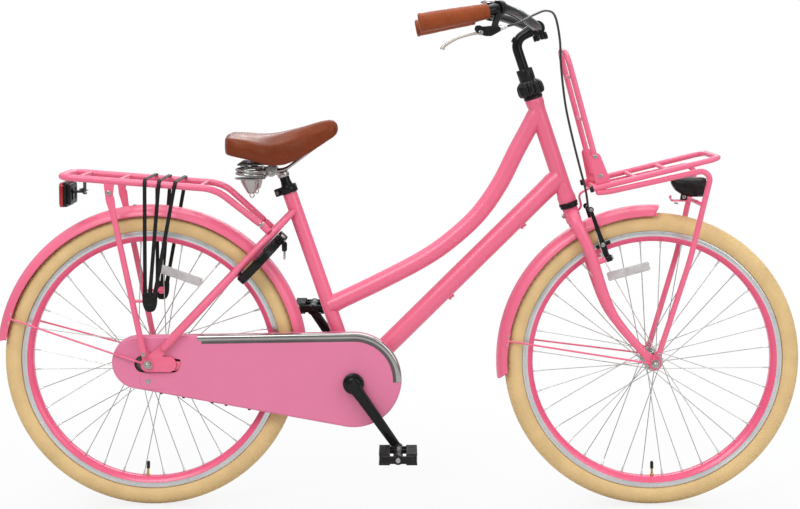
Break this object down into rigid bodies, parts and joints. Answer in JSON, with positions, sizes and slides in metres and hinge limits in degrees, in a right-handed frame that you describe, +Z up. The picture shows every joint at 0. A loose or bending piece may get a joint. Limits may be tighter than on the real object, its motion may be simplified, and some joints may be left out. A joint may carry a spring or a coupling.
{
  "type": "dutch city bike",
  "caption": "Step-through city bike with mudguards, a closed chaincase, front and rear carriers, a sprung saddle, a ring lock and a rim brake.",
  "frame": {"origin": "middle of the box round the bike, on the ground under the tyres", "axes": "+X is forward, +Y is to the rider's left and +Z is up"},
  "size_m": [1.7764, 0.6464, 1.1342],
  "materials": {
    "frame_paint": "gloss pink enamel",
    "rim_paint": "gloss pink enamel with bare silver braking bands",
    "case_paint": "satin lilac pink enamel",
    "black_paint": "gloss black enamel",
    "black_plastic": "moulded black plastic",
    "tyre": "cream rubber with a knobbed tread",
    "strap_rubber": "soft black rubber",
    "cable_sleeve": "smooth black cable sleeve",
    "brown_grip": "soft brown, ringed",
    "saddle_skin": "smooth brown cover",
    "bright_steel": "bright zinc-plated steel",
    "dark_steel": "oiled dark steel",
    "chrome_trim": "polished chrome",
    "silver_alloy": "polished alloy",
    "clear_plastic": "clear prismatic plastic",
    "red_lens": "red lens in a black housing"
  },
  "bodies": {
    "frame": {"head_tube": "frame_paint", "down_tube": "frame_paint", "upper_tube": "frame_paint", "seat_tube": "frame_paint", "bottom_bracket_shell": "frame_paint", "chain_stay_right": "frame_paint", "chain_stay_left": "frame_paint", "seat_stay_right": "frame_paint", "seat_stay_left": "frame_paint", "seat_clamp": "black_paint", "headset_lower_cup": "black_plastic", "headset_collar": "black_plastic", "chaincase": "case_paint", "chaincase_trim": "chrome_trim", "chain": "dark_steel", "rear_axle": "bright_steel", "rear_mudguard": "frame_paint", "rear_rack": "frame_paint", "tail_light": "red_lens", "luggage_straps": "strap_rubber", "lock_body": "black_plastic"},
    "seat": {"seat_post": "black_paint", "saddle_frame": "chrome_trim", "saddle_spring_right": "chrome_trim", "saddle_spring_left": "chrome_trim", "saddle": "saddle_skin"},
    "rear_wheel": {"rear_tyre": "tyre", "rear_rim": "rim_paint", "rear_hub_and_spokes": "bright_steel", "rear_reflector": "clear_plastic"},
    "sprocket": {"rear_sprocket": "dark_steel"},
    "cranks": {"crank_axle": "bright_steel", "chainring": "dark_steel", "crank_right": "black_paint", "crank_left": "black_paint"},
    "right_pedal": {"pedal_right": "black_plastic"},
    "left_pedal": {"pedal_left": "black_plastic"},
    "steering": {"fork": "frame_paint", "front_axle": "bright_steel", "front_mudguard": "frame_paint", "front_rack": "frame_paint", "front_rack_backrest": "frame_paint", "headlight": "black_plastic", "stem": "black_paint", "handlebar": "black_paint", "grip_right": "brown_grip", "grip_left": "brown_grip", "bell": "chrome_trim", "brake_lever_body": "black_plastic", "brake_cable": "cable_sleeve"},
    "front_wheel": {"front_tyre": "tyre", "front_rim": "rim_paint", "front_hub_and_spokes": "bright_steel", "front_reflector": "clear_plastic"},
    "lever": {"brake_lever": "silver_alloy"},
    "right_arm": {"brake_arm_right": "black_paint"},
    "left_arm": {"brake_arm_left": "black_paint"},
    "bell_thumb_lever": {"bell_lever": "black_plastic"},
    "shackle": {"lock_shackle": "bright_steel"},
    "kickstand": {"kickstand_leg": "black_paint"}
  },
  "joints": [
    {"name": "seat_height", "type": "slide", "parent": "frame", "child": "seat", "axis": [-0.325, 0, 0.9457], "range_m": [-0.015, 0.06]},
    {"name": "crank_turn", "type": "hinge", "parent": "frame", "child": "cranks", "pos_m": [-0.09828, 0, 0.284], "axis": [0, 1, 0], "continuous": true},
    {"name": "right_pedal_turn", "type": "hinge", "parent": "cranks", "child": "right_pedal", "pos_m": [-0.00077, 0, 0.14474], "axis": [0, 1, 0], "continuous": true},
    {"name": "left_pedal_turn", "type": "hinge", "parent": "cranks", "child": "left_pedal", "pos_m": [-0.19579, 0, 0.42326], "axis": [0, 1, 0], "continuous": true},
    {"name": "sprocket_turn", "type": "hinge", "parent": "frame", "child": "sprocket", "pos_m": [-0.54628, 0, 0.3265], "axis": [0, 1, 0], "continuous": true},
    {"name": "rear_wheel_turn", "type": "hinge", "parent": "frame", "child": "rear_wheel", "pos_m": [-0.54628, 0, 0.3265], "axis": [0, 1, 0], "continuous": true},
    {"name": "steering_turn", "type": "hinge", "parent": "frame", "child": "steering", "pos_m": [0.49888, 0, 0.30535], "axis": [-0.319, 0, 0.9478], "range_deg": [-60, 60]},
    {"name": "front_wheel_turn", "type": "hinge", "parent": "steering", "child": "front_wheel", "pos_m": [0.56172, 0, 0.3265], "axis": [0, 1, 0], "continuous": true},
    {"name": "lever_pull", "type": "hinge", "parent": "steering", "child": "lever", "pos_m": [0.16471, -0.2933, 1.04493], "axis": [0, 1, 0], "range_deg": [0, 18], "stiffness_Nm_per_rad": 0.6, "springref_deg": -8.59},
    {"name": "right_arm_close", "type": "hinge", "parent": "steering", "child": "right_arm", "pos_m": [0.45769, -0.043, 0.55632], "axis": [-0.9425, 0, -0.3343], "range_deg": [0, 3.9]},
    {"name": "left_arm_close", "type": "hinge", "parent": "steering", "child": "left_arm", "pos_m": [0.45769, 0.043, 0.55632], "axis": [0.9425, 0, 0.3343], "range_deg": [0, 3.9]},
    {"name": "bell_lever_push", "type": "hinge", "parent": "steering", "child": "bell_thumb_lever", "pos_m": [0.20379, 0.25502, 1.11542], "axis": [0, 0, -1], "range_deg": [0, 30], "stiffness_Nm_per_rad": 0.02, "springref_deg": -11.46},
    {"name": "shackle_slide", "type": "hinge", "parent": "frame", "child": "shackle", "pos_m": [-0.30715, 0, 0.5476], "axis": [-0.7248, 0, 0.6889], "range_deg": [0, 96]},
    {"name": "kickstand_swing", "type": "hinge", "parent": "frame", "child": "kickstand", "pos_m": [-0.17728, 0.058, 0.262], "axis": [0, -1, 0], "range_deg": [0, 105]}
  ],
  "couplings": [
    {"joint": "sprocket_turn", "follows": "crank_turn", "ratio": 2.1111},
    {"joint": "right_arm_close", "follows": "lever_pull", "ratio": 0.21},
    {"joint": "left_arm_close", "follows": "lever_pull", "ratio": 0.21}
  ]
}
